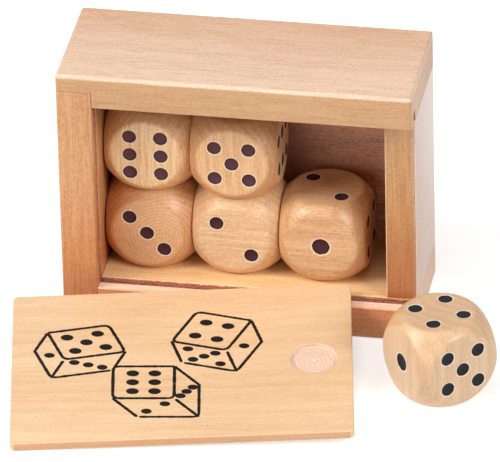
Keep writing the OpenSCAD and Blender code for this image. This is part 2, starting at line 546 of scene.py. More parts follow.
@dataclass(frozen=True)
class PolishedWood(Wood):
    """Close-grained wood, tumbled smooth and waxed, with painted pips where the piece's pip value is low.

    Attributes:
        turned: Colour that the wood is multiplied by where the corners are turned down: painted shade.
        paint: Colour of the pips' paint.
        paint_reach: How far the paint goes towards the pip's rim, as a share of its width.
        gloss: How strongly the paint shines, from 0 for matt to 1 for wet-looking lumps.
        rim: How strongly the fresh wood shows round the paint.
    """

    ring: float = 1.9
    band: float = 0.2
    mottle: float = 0.4
    fibre: float = 1.1
    end: float = 0.1
    relief: float = 0.015
    sheen: float = 0.38
    # Painted shade on the turned-down corners, darkest for the dice in the shade of the box
    turned: str = "#EADACE"
    paint: str = "#482730"
    paint_reach: float = 0.95
    gloss: float = 0.15
    rim: float = 0.75

    FRESH = "#F8E8D0"
    PAINT_EDGE = "#120C0E"
    # The brush leaves an edge that wanders by a few hundredths of the pip's width
    WANDER = 0.14
    BLUR = 0.03
    # The paint dries in lumps a third of a millimetre wide and three hundredths high
    LUMPS = 3.0
    LUMP_HEIGHT = 0.12

    def surface(self, tree: bpy.types.NodeTree, parts: Mapping[str, bpy.types.NodeSocket]) -> None:
        """Ends the tree with waxed wood, with painted shade where it is turned, and with matt paint in the
        pips.

        Args:
            tree: The material's tree.
            parts: The sockets of the wood's figure.
        """
        # Painted shade: the turned-down corners are multiplied by a darker tone
        lathe = add(tree, "ShaderNodeAttribute", attribute_name=DieShape.TURNED)
        layers = {0: lathe.outputs["Fac"], 6: parts["colour"], 7: linear(self.turned)}
        bare = add(tree, "ShaderNodeMix", layers, data_type="RGBA", blend_type="MULTIPLY")
        pip = add(tree, "ShaderNodeAttribute", attribute_name=DieShape.PIP_VALUE).outputs["Fac"]
        ragged = add(tree, "ShaderNodeTexNoise", {"Vector": parts["place"], "Scale": 1.1, "Detail": 2.0})
        edge = add(tree, "ShaderNodeMath", (ragged, self.WANDER, pip), operation="MULTIPLY_ADD")
        reach = self.paint_reach + self.WANDER / 2
        painted = add(tree, "ShaderNodeMapRange", (edge, reach - self.BLUR, reach + self.BLUR, 1.0, 0.0))
        # The cutter leaves a thin pale rim of fresh wood round the paint
        rim = add(tree, "ShaderNodeMapRange", (edge, reach + 0.1, reach + 0.2, self.rim, 0.0)).outputs[0]
        layers = {0: rim, 6: bare.outputs[2], 7: linear(self.FRESH)}
        wood = add(tree, "ShaderNodeMix", layers, data_type="RGBA").outputs[2]
        # The paint gathers along the rim and dries nearly black there
        gathered = add(tree, "ShaderNodeMapRange", (edge, reach - 0.25, reach - 0.06, 0.0, 0.75))
        layers = {0: gathered.outputs[0], 6: linear(self.paint), 7: linear(self.PAINT_EDGE)}
        paint = add(tree, "ShaderNodeMix", layers, data_type="RGBA").outputs[2]
        colour = add(tree, "ShaderNodeMix", {0: painted, 6: wood, 7: paint}, data_type="RGBA").outputs[2]
        rough = add(tree, "ShaderNodeMix", {0: painted, 2: parts["roughness"], 3: 0.6 - 0.4 * self.gloss})
        shine = add(tree, "ShaderNodeMix", {0: painted, 2: 0.5, 3: self.gloss})
        wax = add(tree, "ShaderNodeMix", {0: painted, 2: self.sheen, 3: 0.0})
        lump = add(tree, "ShaderNodeTexNoise", {"Vector": parts["place"], "Scale": self.LUMPS, "Detail": 1.0})
        lumpy = add(tree, "ShaderNodeMath", (lump, self.LUMP_HEIGHT / self.relief), operation="MULTIPLY")
        height = add(tree, "ShaderNodeMix", {0: painted, 2: parts["height"], 3: lumpy})
        shaded(
            tree,
            {"Strength": 0.5, "Distance": self.relief * MM, "Height": height},
            {
                "Base Color": colour, "Roughness": rough, "Specular IOR Level": shine, "Coat Weight": wax,
                "Coat Roughness": self.SHEEN_ROUGHNESS,
            },
        )


@dataclass(frozen=True)
class Ink:
    """Black screen ink, a thin dull film that follows the wood under it, greyer where it is thin.

    Attributes:
        name: Name of the material.
        colour: Colour of the full film.
        worn: Colour where the film is thin.
    """

    name: str = "black_screen_ink"
    colour: str = "#100D0E"
    worn: str = "#2A2220"

    def material(self) -> bpy.types.Material:
        """Makes the ink as a Blender material.

        Returns:
            The material, with its shader and bump.
        """
        material = bpy.data.materials.new(self.name)
        tree = emptied(material)
        spot = add(tree, "ShaderNodeTexCoord").outputs["Object"]
        # Where the wood's fibres stand up, a fifth of a millimetre apart, the film is thin
        cloud = add(tree, "ShaderNodeTexNoise", {"Vector": spot, "Scale": 1.6 / MM, "Detail": 2.0})
        thin = add(tree, "ShaderNodeMapRange", (cloud, 0.55, 0.8, 0.0, 1.0)).outputs[0]
        layers = {0: thin, 6: linear(self.colour), 7: linear(self.worn)}
        colour = add(tree, "ShaderNodeMix", layers, data_type="RGBA").outputs[2]
        shaded(
            tree,
            {"Strength": 0.3, "Distance": 0.02 * MM, "Height": cloud},
            {"Base Color": colour, "Roughness": 0.6, "Specular IOR Level": 0.2},
        )
        return material


class Facing(Enum):
    """Turns, in degrees, that bring a die's number to the front, and one that brings the four to the top."""

    ONE = (0, 0, 0)
    TWO = (90, 0, 0)
    THREE = (0, 0, 90)
    FIVE = (0, -90, -90)
    SIX = (0, 0, 180)
    FOUR_UP = (0, -90, -50)


@dataclass
class DieShape:
    """A cube whose corners are turned down to a ball, with ball-cut pips.

    Attributes:
        edge: Distance between opposite flats.
        ball: Diameter of the ball.
        arris: How softly a flat passes into the ball.
        pip: Width of a pip.
        single_pip: Width of the pip on the one.
        pip_depth: Depth of a pip.
        step: How far the pips of two to five stand from the middle of their face.
        six_across: Half the distance between the two lines of three.
        six_along: Distance from pip to pip in a line of three.
        cells: Cells along each edge of the cube.
        tree: The tree that makes every die.
    """

    PIP_VALUE = "pip"
    TURNED = "turned"

    # The tool that cuts a pip: its sides, the rings of its end, its width as a share of the pip's, its length
    PLUG_SIDES, PLUG_RINGS, PLUG_REACH, PLUG_LENGTH = 40, 7, 1.15, 2.0
    # Where the turned part starts and is full, as height over the ball
    TURNED_FROM, TURNED_FULL = -0.3, 0.5
    # Edges that turn by more than this are the pips' rims, and stay crisp
    PIP_EDGE = math.radians(18)

    edge: float = 24.7
    ball: float = 32.1
    arris: float = 0.9
    pip: float = 4.2
    single_pip: float = 5.3
    pip_depth: float = 0.6
    step: float = 4.85
    six_across: float = 4.4
    six_along: float = 5.7
    cells: int = 60
    tree: bpy.types.NodeTree = field(init=False)

    def __post_init__(self) -> None:
        """Builds the tree that makes every die."""
        self.tree = self.build_tree()

    def cutter(self, tree: bpy.types.NodeTree, width: object, depth: object) -> tuple[bpy.types.Node, ...]:
        """Builds the tool that cuts one pip: a short plug whose end is part of a ball.

        Args:
            tree: The tree to build in.
            width: Width of the pip at the surface.
            depth: Depth of the pip.

        Returns:
            The plug, standing in the surface it cuts, and the chord from the pip's lowest point to its rim.
        """
        half = add(tree, "ShaderNodeMath", (width, 0.5), operation="MULTIPLY")
        fall = add(tree, "ShaderNodeCombineXYZ", (half, depth))
        chord = add(tree, "ShaderNodeVectorMath", (fall,), operation="LENGTH")
        squared = add(tree, "ShaderNodeMath", (chord.outputs["Value"], 2.0), operation="POWER")
        twice = add(tree, "ShaderNodeMath", (depth, 2.0), operation="MULTIPLY")
        ball = add(tree, "ShaderNodeMath", (squared, twice), operation="DIVIDE")
        reach = add(tree, "ShaderNodeMath", (half, self.PLUG_REACH), operation="MULTIPLY")
        plug = add(
            tree, "GeometryNodeMeshCylinder", (self.PLUG_SIDES, 1, self.PLUG_RINGS, reach, self.PLUG_LENGTH),
            fill_type="TRIANGLE_FAN",
        )
        spot = add(tree, "ShaderNodeSeparateXYZ", (add(tree, "GeometryNodeInputPosition"),))
        flat = add(tree, "ShaderNodeCombineXYZ", (spot.outputs[0], spot.outputs[1]))
        out = add(tree, "ShaderNodeVectorMath", (flat,), operation="LENGTH")
        # Height of the ball's surface at that distance from its axis
        ball_squared = add(tree, "ShaderNodeMath", (ball, 2.0), operation="POWER")
        out_squared = add(tree, "ShaderNodeMath", (out.outputs["Value"], 2.0), operation="POWER")
        rest = add(tree, "ShaderNodeMath", (ball_squared, out_squared), operation="SUBTRACT")
        drop = add(tree, "ShaderNodeMath", (rest,), operation="SQRT")
        centre = add(tree, "ShaderNodeMath", (ball, depth), operation="SUBTRACT")
        level = add(tree, "ShaderNodeMath", (centre, drop), operation="SUBTRACT")
        low = add(tree, "FunctionNodeCompare", {0: spot.outputs[2], 1: 0.0}, operation="LESS_THAN")
        spot_down = add(tree, "ShaderNodeCombineXYZ", (spot.outputs[0], spot.outputs[1], level))
        parts = {"Geometry": plug, "Selection": low, "Position": spot_down}
        return add(tree, "GeometryNodeSetPosition", parts), chord

    def build_tree(self) -> bpy.types.NodeTree:
        """Builds the Geometry Nodes tree of a die.

        Returns:
            The tree, in millimetres until its last step.
        """
        tree, given = shape_tree(
            "die",
            {
                "Edge": self.edge, "Ball": self.ball, "Arris": self.arris, "Pip": self.pip,
                "Single Pip": self.single_pip, "Pip Depth": self.pip_depth, "Step": self.step,
                "Six Across": self.six_across, "Six Along": self.six_along, "Cells": self.cells,
                "Centre": NOWHERE, "Facing": NOWHERE, "Wood": "",
            },
        )
        size = given.outputs
        half = add(tree, "ShaderNodeMath", (size["Edge"], 0.5), operation="MULTIPLY")
        edges = add(tree, "ShaderNodeCombineXYZ", (size["Edge"], size["Edge"], size["Edge"]))
        cube = add(tree, "GeometryNodeMeshCube", (edges, size["Cells"], size["Cells"], size["Cells"]))
        spot = add(tree, "GeometryNodeInputPosition")
        # A point of the cube's surface moves along its own ray to the nearer of flat and ball
        ray = add(tree, "ShaderNodeVectorMath", (spot,), operation="NORMALIZE")
        flat = add(tree, "ShaderNodeVectorMath", (spot,), operation="LENGTH").outputs["Value"]
        radius = add(tree, "ShaderNodeMath", (size["Ball"], 0.5), operation="MULTIPLY")
        near = add(tree, "ShaderNodeMath", (flat, radius, size["Arris"]), operation="SMOOTH_MIN")
        moved = add(tree, "ShaderNodeVectorMath", {0: ray, "Scale": near}, operation="SCALE")
        beyond = add(tree, "ShaderNodeMath", (flat, radius), operation="SUBTRACT")
        lathe = add(tree, "ShaderNodeMapRange", (beyond, self.TURNED_FROM, self.TURNED_FULL, 0.0, 1.0))
        value = {"Geometry": cube, "Name": self.TURNED, "Value": lathe}
        told = add(tree, "GeometryNodeStoreNamedAttribute", value, data_type="FLOAT", domain="POINT")
        body = add(tree, "GeometryNodeSetPosition", {"Geometry": told, "Position": moved})

        plug, chord = self.cutter(tree, size["Pip"], size["Pip Depth"])
        big_plug, big_chord = self.cutter(tree, size["Single Pip"], size["Pip Depth"])

        double = add(tree, "ShaderNodeMath", (size["Step"], 2.0), operation="MULTIPLY")
        minus = add(tree, "ShaderNodeMath", (size["Step"], -1.0), operation="MULTIPLY")
        middle = add(tree, "GeometryNodeMeshLine", {"Count": 1})
        corners = add(tree, "GeometryNodeMeshGrid", (double, double, 2, 2))
        start = add(tree, "ShaderNodeCombineXYZ", (minus, size["Step"]))
        end = add(tree, "ShaderNodeCombineXYZ", (size["Step"], minus))
        ends = {"Count": 2, "Start Location": start, "Offset": end}
        falling = add(tree, "GeometryNodeMeshLine", ends, mode="END_POINTS")
        wide = add(tree, "ShaderNodeMath", (size["Six Across"], 2.0), operation="MULTIPLY")
        tall = add(tree, "ShaderNodeMath", (size["Six Along"], 2.0), operation="MULTIPLY")
        lines = add(tree, "GeometryNodeMeshGrid", (wide, tall, 2, 3))
        # Turn of each face in degrees, its rows of pips and the tool that cuts them, from the two to the one
        faces = (
            ((0, 0, 0), [falling], plug),
            ((90, 0, -90), [falling, middle], plug),
            ((90, 0, 90), [corners], plug),
            ((180, 0, 0), [corners, middle], plug),
            ((-90, 0, 0), [lines], plug),
            ((90, 0, 0), [middle], big_plug),
        )
        lift = add(tree, "ShaderNodeCombineXYZ", {2: half})
        sunk = add(tree, "ShaderNodeMath", (half, size["Pip Depth"]), operation="SUBTRACT")
        floor = add(tree, "ShaderNodeCombineXYZ", {2: sunk})
        tools, lows = [], []
        for turn, places, tool in faces:
            spots = add(tree, "GeometryNodeJoinGeometry", (places,))
            placed = add(tree, "GeometryNodeInstanceOnPoints", {"Points": spots, "Instance": tool})
            radians = tuple(math.radians(a) for a in turn)
            for geometry, height, kept in ((placed, lift, tools), (spots, floor, lows)):
                raised = add(tree, "GeometryNodeTransform", {"Geometry": geometry, "Translation": height})
                kept.append(add(tree, "GeometryNodeTransform", {"Geometry": raised, "Rotation": radians}))
        tools = add(tree, "GeometryNodeJoinGeometry", (tools,))
        real = add(tree, "GeometryNodeRealizeInstances", (tools,))
        pair = {"Mesh 1": body, "Mesh 2": real}
        cut = add(tree, "GeometryNodeMeshBoolean", pair, operation="DIFFERENCE", solver="EXACT")

        # The pip value is 0 at a pip's lowest point and 1 at its rim
        small_lows = add(tree, "GeometryNodeJoinGeometry", (lows[:-1],))
        shares = []
        for target, reach in ((small_lows, chord), (lows[-1], big_chord)):
            away = add(tree, "GeometryNodeProximity", (target,), target_element="POINTS").outputs["Distance"]
            shares.append(add(tree, "ShaderNodeMath", (away, reach.outputs["Value"]), operation="DIVIDE"))
        least = add(tree, "ShaderNodeMath", shares, operation="MINIMUM")
        value = {"Geometry": cut, "Name": self.PIP_VALUE, "Value": least}
        marked = add(tree, "GeometryNodeStoreNamedAttribute", value, data_type="FLOAT", domain="POINT")
        smooth = add(tree, "GeometryNodeSetShadeSmooth", {"Geometry": marked})
        angle = add(tree, "GeometryNodeInputMeshEdgeAngle")
        sharp = add(tree, "FunctionNodeCompare", {0: angle, 1: self.PIP_EDGE}, operation="GREATER_THAN")
        creased = {"Geometry": smooth, "Selection": sharp, "Shade Smooth": False}
        crisp = add(tree, "GeometryNodeSetShadeSmooth", creased, domain="EDGE")
        add(tree, "NodeGroupOutput", (laid(tree, crisp, size["Facing"], size["Centre"], size["Wood"]),))
        return tree

    def make(self, node: str, body: str, facing: Facing, finish: PolishedWood) -> bpy.types.Object:
        """Makes one die in the place of its CAD solid.

        Args:
            node: Name of the CAD node.
            body: Name of the body that it rides on.
            facing: How the die is turned.
            finish: Its wood and paint.

        Returns:
            The die.
        """
        low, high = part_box(node)
        centre = tuple((low + high) / 2 / MM)
        turn = tuple(math.radians(a) for a in facing.value)
        die = grow(f"{node}_turned", self.tree, {"Centre": centre, "Facing": turn, "Wood": finish.material()})
        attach(die, body)
        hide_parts(node)
        return die


@dataclass
class PrintedDie:
    """A line drawing of a die, seen from one corner, on the lid.

    Attributes:
        corner: The corner where its three faces meet, in the lid's own plane.
        left: From there along the top face to its left or far corner.
        right: From there along the top face's other edge.
        down: From there down the upright edge.
        counts: Pips on the top, on the face under `left` and on the face under `right`.
        bend: Radius of the drawn corners.
    """

    PATTERNS = {
        1: ((0.5, 0.5),),
        2: ((0.27, 0.3), (0.73, 0.7)),
        3: ((0.22, 0.25), (0.5, 0.5), (0.78, 0.75)),
        4: ((0.3, 0.28), (0.7, 0.28), (0.3, 0.72), (0.7, 0.72)),
        5: ((0.25, 0.25), (0.75, 0.25), (0.5, 0.5), (0.25, 0.75), (0.75, 0.75)),
        6: ((0.32, 0.22), (0.32, 0.5), (0.32, 0.78), (0.68, 0.22), (0.68, 0.5), (0.68, 0.78)),
    }
    BEND_STEPS = tuple(i / 6 for i in range(7))
    # Size of a pip on the upright faces, which are seen at a lower angle than the top
    SIDE_PIP = 0.84

    corner: Pair
    left: Pair
    right: Pair
    down: Pair
    counts: tuple[int, int, int]
    bend: float = 1.8

    def strokes(self) -> list[list[Vector]]:
        """Draws the nine edges that show, with the small breaks of a stencil.

        Returns:
            Each stroke as a line of points.
        """
        corner, left, right, down = (Vector(v) for v in (self.corner, self.left, self.right, self.down))

        def towards(start: Vector, end: Vector, inset: float) -> Vector:
            """A point so far from start on the way to end."""
            return start + (end - start).normalized() * inset

        def rounded(points: Sequence[Vector]) -> list[Vector]:
            """Draws a line through points, with its inner corners rounded.

            Args:
                points: The points.

            Returns:
                The line's own points.
            """
            line = [points[0]]
            for before, turn, after in zip(points, points[1:], points[2:]):
                start, end = towards(turn, before, self.bend), towards(turn, after, self.bend)
                line += [start.lerp(turn, t).lerp(turn.lerp(end, t), t) for t in self.BEND_STEPS]
            return [*line, points[-1]]

        far = corner + left + right
        on_left, on_right = corner + left, corner + right
        gap, space = 0.25 * self.bend, 0.55 * self.bend
        top = rounded([towards(on_right, corner, gap), corner, on_left, far, towards(on_right, far, gap)])
        under = rounded([towards(on_left + down, corner + down, space), corner + down, on_right + down])
        return [
            top,
            under,
            [towards(corner, corner + down, space), towards(corner + down, corner, gap)],
            [on_left + down * 0.03, towards(on_left + down, on_left, gap)],
            [towards(on_right, on_right + down, gap), towards(on_right + down, on_right, gap)],
        ]

    def dots(self) -> list[tuple[Vector, float]]:
        """Places the pips.

        Returns:
            The middle of each pip, and its size as a share of a pip on the top face.
        """
        corner, left, right, down = (Vector(v) for v in (self.corner, self.left, self.right, self.down))
        faces = ((left, right, 1.0), (left, down, self.SIDE_PIP), (right, down, self.SIDE_PIP))
        return [
            (corner + a * s + b * t, size)
            for count, (a, b, size) in zip(self.counts, faces)
            for s, t in self.PATTERNS[count]
        ]


@dataclass
class Lid:
    """The thin lid, taken out, with its turned finger recess and its print.

    Attributes:
        length: Length of the board.
        width: Width of the board.
        thick: Thickness of the board.
        corner: Rounding of its corners, seen from above.
        ease: Width of the sanded edges.
        recess: Diameter of the finger recess.
        recess_depth: Its depth.
        ripple: Height of the rings that the turning bit leaves in it.
        pitch: Distance from one such ring to the next.
        mark: Radius of the bit's centre mark, and its depth below the recess.
        inset: Distance of its middle from the lid's outer end.
        turn: Turn of the lid in its own plane, in degrees.
        over: How far its inner corner reaches over the bottom board.
        rest: The point of the bottom board's front edge behind that corner.
        line: Width of the print's strokes.
        dot: Half length and half width of a printed pip.
        film: How far the ink stands above the wood.
    """

    length: float = 94.6
    width: float = 64.4
    thick: float = 2.5
    corner: float = 1.6
    ease: float = 0.28
    recess: float = 12.8
    recess_depth: float = 0.8
    ripple: float = 0.035
    pitch: float = 1.25
    mark: Pair = (0.8, 0.5)
    inset: float = 10.8
    turn: float = 10.2
    over: float = 6.9
    rest: Triple = (31.1, -19.7, 10.1)
    line: float = 0.9
    dot: Pair = (1.8, 1.3)
    film: float = 0.03

    # Points of a corner, sides of the recess and points of its section
    CORNER_STEPS, RECESS_SIDES, RECESS_STEPS = 8, 96, 40
    # Sides and rings of the balls that a stroke ends in and that a pip is pressed from
    STROKE_SIDES, STROKE_RINGS, PIP_SIDES, PIP_RINGS = 16, 10, 28, 12
    SHARE = "share"

    DRAWINGS = (
        PrintedDie((-80.0, -28.6), (17.0, 2.4), (-4.7, 12.0), (-3.5, -7.8), (5, 3, 1)),
        PrintedDie((-34.9, -27.2), (-15.2, 4.8), (7.0, 12.6), (2.8, -9.4), (4, 5, 1)),
        PrintedDie((-49.4, -47.2), (-17.0, 1.0), (0.1, 13.8), (6.8, -8.4), (6, 2, 3)),
    )

    @property
    def place(self) -> Matrix:
        """Finds where the lid lies: its front edge on the table, its far right corner on the bottom board.

        Returns:
            Its place, in millimetres.
        """
        turn = math.radians(self.turn)
        run = self.length * math.sin(turn) + self.width * math.cos(turn) - self.over
        lean = Matrix.Rotation(math.asin(self.rest[2] / run), 4, "X")
        slide = Matrix.Translation((0, self.over, 0))
        return Matrix.Translation(self.rest) @ lean @ slide @ Matrix.Rotation(turn, 4, "Z")

    def axis(self, number: int) -> Triple:
        """The direction of the lid's own X, Y or Z axis where it lies."""
        return tuple(self.place.col[number].xyz)

    def front_edge_shade(self, colour: str) -> PaintedLight:
        """Paints shade on the edge along the lid's front.

        Args:
            colour: Colour that the wood is multiplied by there.

        Returns:
            The tone.
        """
        out = -Vector(self.axis(1))
        edge = self.place.translation.dot(out) + self.width
        return PaintedLight(colour, tuple(out), edge - 0.12, edge - 0.04, 0.0)

    def outline(self) -> list[Pair]:
        """Draws the board's outline, with its quarter-circle corners.

        Returns:
            The outline's points, anticlockwise.
        """
        radius, steps = self.corner, self.CORNER_STEPS
        far, front = -self.length + radius, -self.width + radius
        middles = ((-radius, -radius, 0), (far, -radius, 90), (far, front, 180), (-radius, front, 270))
        shares = [90 * i / steps for i in range(steps + 1)]
        turns = ((x, y, math.radians(start + share)) for x, y, start in middles for share in shares)
        return [(x + radius * math.cos(turn), y + radius * math.sin(turn)) for x, y, turn in turns]

    def recess_profile(self) -> list[Pair]:
        """The recess's section from its middle outwards, with the rings that the bit leaves.

        Returns:
            Distance from the middle and height above the lid's face.
        """
        radius, depth, mark = self.recess / 2, self.recess_depth, self.mark[0]
        line = [(0.0, -depth - self.mark[1]), (mark, -depth)]
        for i in range(1, self.RECESS_STEPS):
            out = mark + (radius - 0.15 - mark) * i / self.RECESS_STEPS
            wave = self.ripple * math.cos(2 * math.pi * (out - mark) / self.pitch)
            line.append((out, -depth + wave - self.ripple))
        # A small round foot, the upright wall and an eased rim, and above the face the tool's own end
        return line + [
            (radius - 0.12, -depth), (radius - 0.02, -depth + 0.1), (radius, -0.16), (radius + 0.14, 0.0),
            (radius + 0.3, 0.16), (radius + 0.3, 1.0), (0.0, 1.0),
        ]

    def cutter(self) -> bpy.types.Object:
        """Turns the shape that the recess is cut with.

        Returns:
            The shape, as an object of its own.
        """
        shape = bmesh.new()
        middle = Vector((-self.inset, -self.width / 2, self.thick))
        points = [shape.verts.new(middle + Vector((out, 0, up))) for out, up in self.recess_profile()]
        edges = [shape.edges.new(pair) for pair in zip(points, points[1:])]
        bmesh.ops.spin(
            shape, geom=points + edges, cent=middle, axis=ALONG_Z, angle=2 * math.pi, steps=self.RECESS_SIDES,
            use_merge=True,
        )
        bmesh.ops.remove_doubles(shape, verts=shape.verts, dist=SAME)
        bmesh.ops.recalc_face_normals(shape, faces=shape.faces)
        return mesh_object("recess_cutter", shape)

    def board(self, wood: bpy.types.Material, routed: bpy.types.Material) -> bpy.types.Object:
        """Makes the board with eased edges and its recess.

        Args:
            wood: Material of the board.
            routed: Material of the recess.

        Returns:
            The board, in its place.
        """
        shape = bmesh.new()
        face = shape.faces.new([shape.verts.new((x, y, 0)) for x, y in self.outline()])
        raised = bmesh.ops.extrude_face_region(shape, geom=[face])["geom"]
        tops = [v for v in raised if isinstance(v, bmesh.types.BMVert)]
        bmesh.ops.translate(shape, vec=(0, 0, self.thick), verts=tops)
        bmesh.ops.recalc_face_normals(shape, faces=shape.faces)
        ease(shape, [e for e in shape.edges if e.calc_face_angle(0) > math.radians(60)], self.ease)
        board, cutter = mesh_object("lid_board", shape), self.cutter()
        cut = board.modifiers.new("Recess", "BOOLEAN")
        cut.object, cut.operation, cut.solver = cutter, "DIFFERENCE", "EXACT"
        board = baked(board)
        bpy.data.objects.remove(cutter)
        board.data.materials.clear()
        dress(board, wood, routed)
        # The recess is what looks up from below the face, near its middle
        middle = Vector((-self.inset, -self.width / 2))
        for polygon in board.data.polygons:
            out = (Vector(polygon.center[:2]) - middle).length
            sunk = polygon.center[2] < self.thick - 0.01 and polygon.normal.z > 0.02
            polygon.material_index = int(out < self.recess / 2 + 0.1 and sunk)
        board.data.transform(Matrix.Scale(MM, 4) @ self.place)
        return board

    def print_tree(self) -> bpy.types.NodeTree:
        """Builds the tree that turns lines to inked strokes and single points to pips.

        Returns:
            The tree, in millimetres until its last step.
        """
        tree, given = shape_tree(
            "print",
            {
                "Line": self.line, "Half Length": self.dot[0], "Half Width": self.dot[1], "Film": self.film,
                "Lean": NOWHERE, "Place": NOWHERE, "Ink": "",
            },
        )
        size = given.outputs
        half = add(tree, "ShaderNodeMath", (size["Line"], 0.5), operation="MULTIPLY")
        lines = add(tree, "GeometryNodeMeshToCurve", (size["Geometry"],))
        even = add(tree, "GeometryNodeResampleCurve", {"Curve": lines, "Length": 0.5}, mode="LENGTH")
        # The screen lays the ink a little unevenly, so a stroke's width wanders by a tenth
        cloud = add(tree, "ShaderNodeTexNoise", {"Scale": 0.9, "Detail": 1.0})
        width = add(tree, "ShaderNodeMapRange", (cloud, 0.2, 0.8, 0.8, 1.25))
        wavy = add(tree, "GeometryNodeSetCurveRadius", {"Curve": even, "Radius": width.outputs[0]})
        circle = {"Resolution": self.STROKE_RINGS, "Radius": half}
        section = add(tree, "GeometryNodeCurvePrimitiveCircle", circle)
        tube = add(
            tree, "GeometryNodeCurveToMesh",
            {"Curve": wavy, "Profile Curve": section, "Scale": width.outputs[0], "Fill Caps": True},
        )
        ball = add(tree, "GeometryNodeMeshUVSphere", (self.STROKE_SIDES, self.STROKE_RINGS, half))
        ends = add(tree, "GeometryNodeCurveEndpointSelection")
        tips = add(
            tree, "GeometryNodeInstanceOnPoints",
            {"Points": wavy, "Selection": ends, "Instance": ball, "Scale": width.outputs[0]},
        )
        drop = add(tree, "GeometryNodeMeshUVSphere", (self.PIP_SIDES, self.PIP_RINGS, 1.0))
        spread = add(tree, "ShaderNodeCombineXYZ", (size["Half Length"], size["Half Width"], half))
        share = add(tree, "GeometryNodeInputNamedAttribute", (self.SHARE,), data_type="FLOAT")
        scaled = add(tree, "ShaderNodeVectorMath", {0: spread, "Scale": share}, operation="SCALE")
        marks = add(
            tree, "GeometryNodeInstanceOnPoints",
            {
                "Points": size["Geometry"], "Selection": share.outputs["Attribute"], "Instance": drop,
                "Rotation": (0.0, 0.0, math.radians(-self.turn)), "Scale": scaled,
            },
        )
        drawn = add(tree, "GeometryNodeJoinGeometry", ([tube, tips, marks],))
        joined = add(tree, "GeometryNodeRealizeInstances", (drawn,))
        thin = add(tree, "ShaderNodeMath", (size["Film"], half), operation="DIVIDE")
        flat = add(tree, "ShaderNodeCombineXYZ", (1.0, 1.0, thin))
        pressed = add(tree, "GeometryNodeTransform", {"Geometry": joined, "Scale": flat})
        smooth = add(tree, "GeometryNodeSetShadeSmooth", {"Geometry": pressed})
        add(tree, "NodeGroupOutput", (laid(tree, smooth, size["Lean"], size["Place"], size["Ink"]),))
        return tree

    def print_lines(self) -> bpy.types.Mesh:
        """Gathers the drawings' strokes as edges, and their pips as single points with a share of size.

        Returns:
            The mesh that goes into the print's tree.
        """
        points, edges, shares = [], [], []
        for drawing in self.DRAWINGS:
            for stroke in drawing.strokes():
                first = len(points)
                points += [(p.x, p.y, 0.0) for p in stroke]
                edges += [(i, i + 1) for i in range(first, len(points) - 1)]
            shares += [0.0] * (len(points) - len(shares))
            for middle, share in drawing.dots():
                points.append((middle.x, middle.y, 0.0))
                shares.append(share)
        mesh = bpy.data.meshes.new("print_lines")
        mesh.from_pydata(points, edges, [])
        mesh.attributes.new(self.SHARE, "FLOAT", "POINT").data.foreach_set("value", shares)
        return mesh

    def make(self, wood: Wood, routed: Wood, ink: Ink) -> list[bpy.types.Object]:
        """Makes the lid and its print, and rides both on the lid's body.

        Args:
            wood: Wood of the board.
            routed: Wood of the recess.
            ink: Ink of the print.

        Returns:
            The board and the print.
        """
        board = self.board(wood.material(), routed.material())
        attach(board, "lid")
        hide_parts("sliding_lid")
        place = self.place @ Matrix.Translation((0, 0, self.thick))
        drawing = grow(
            "lid_print", self.print_tree(),
            {"Lean": tuple(place.to_euler()), "Place": tuple(place.translation), "Ink": ink.material()},
            self.print_lines(),
        )
        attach(drawing, "lid")
        return [board, drawing]


@dataclass
class EasedEnd:
    """An end board whose upright edges at the mouth are eased, as sandpaper leaves them.

    Attributes:
        node: Name of the CAD node.
        lines: Where its eased edges stand, seen from above.
        fresh: Whether the eased edges take the pale fresh wood, partly wood that the sandpaper laid bare and
            partly a painted highlight.
        ease: Width of the eased edge.
    """

    node: str
    lines: tuple[Pair, ...]
    fresh: bool
    ease: float = 0.24

    # How near to a line an edge has to stand
    NEAR = 0.02

    def is_eased(self, edge: bmesh.types.BMEdge) -> bool:
        """Whether an edge stands upright on one of the lines."""
        ends = [end.co[:2] for end in edge.verts]
        return any(all(math.dist(end, line) < self.NEAR for end in ends) for line in self.lines)

    def make(self, wood: bpy.types.Material, fresh: bpy.types.Material) -> bpy.types.Object:
        """Makes the board from its CAD solid.

        Args:
            wood: Material of the board.
            fresh: Material of its eased edges.

        Returns:
            The board.
        """
        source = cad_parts[self.node]
        shape = bmesh.new()
        shape.from_mesh(source.data)
        shape.transform(Matrix.Scale(1 / MM, 4) @ source.matrix_world)
        bmesh.ops.remove_doubles(shape, verts=shape.verts, dist=SAME)
        bmesh.ops.dissolve_limit(shape, angle_limit=math.radians(1), verts=shape.verts, edges=shape.edges)
        ease(shape, [edge for edge in shape.edges if self.is_eased(edge)], self.ease, int(self.fresh))
        shape.transform(Matrix.Scale(MM, 4))
        board = mesh_object(f"{self.node}_eased", shape)
        dress(board, wood, fresh)
        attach(board, "box")
        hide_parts(self.node)
        return board


@dataclass(frozen=True)
class GrooveWall:
    """The back wall of one run of the lid's groove.

    Attributes:
        name: Name of the torn surface.
        slot: Material slot of the board that it is cut in; not used.
        middle: Middle of the wall.
        along: Direction of the groove.
        across: Direction from the groove's floor to its mouth.
        length: Length of the wall.
        height: Depth of the groove.
        splinters: Splinters along each edge.
    """

    name: str
    slot: str
    middle: Triple
    along: Triple
    across: Triple
    length: float
    height: float
    splinters: int


